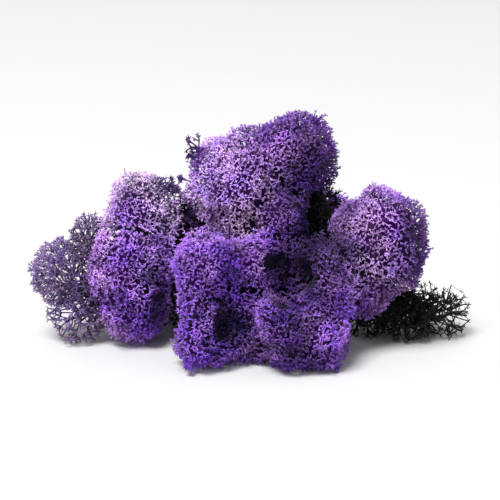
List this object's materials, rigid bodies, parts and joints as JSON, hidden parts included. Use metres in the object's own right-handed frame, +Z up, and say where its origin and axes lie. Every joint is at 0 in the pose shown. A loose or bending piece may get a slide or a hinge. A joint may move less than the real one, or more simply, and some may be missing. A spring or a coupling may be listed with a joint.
{
  "type": "reindeer moss clump",
  "caption": "Loose clump of dyed purple reindeer moss: rounded heads of finely forked lichen twigs grown round old dark stems, with an open fan of long twigs at each side.",
  "frame": {"origin": "on the flat underside of the old stems, on the surface that the clump lies on, near the middle of its footprint", "axes": "+X to the right along the clump's length, +Z up out of the surface, -Y towards its front, which the picture shows"},
  "size_m": [0.118, 0.0736, 0.0599],
  "materials": {
    "dyed_twigs": "matte",
    "pale_twigs": "matte",
    "old_dark_stems": "matte"
  },
  "bodies": {
    "root": {"head_top": "dyed_twigs", "head_top_right": "dyed_twigs", "head_top_low": "dyed_twigs", "head_left_top": "dyed_twigs", "head_left": "dyed_twigs", "head_left_low": "dyed_twigs", "head_front_left": "dyed_twigs", "head_front_left_low": "dyed_twigs", "head_front_low": "dyed_twigs", "head_front_middle": "dyed_twigs", "head_front_right_inner": "dyed_twigs", "head_front_right_outer": "dyed_twigs", "head_front_right_low": "dyed_twigs", "head_front_right_back": "dyed_twigs", "head_right": "dyed_twigs", "head_right_low": "dyed_twigs", "head_back_left": "dyed_twigs", "head_back": "dyed_twigs", "head_back_right": "dyed_twigs", "fan_far_left": "pale_twigs", "fan_right": "old_dark_stems", "old_stems": "old_dark_stems"}
  },
  "joints": []
}
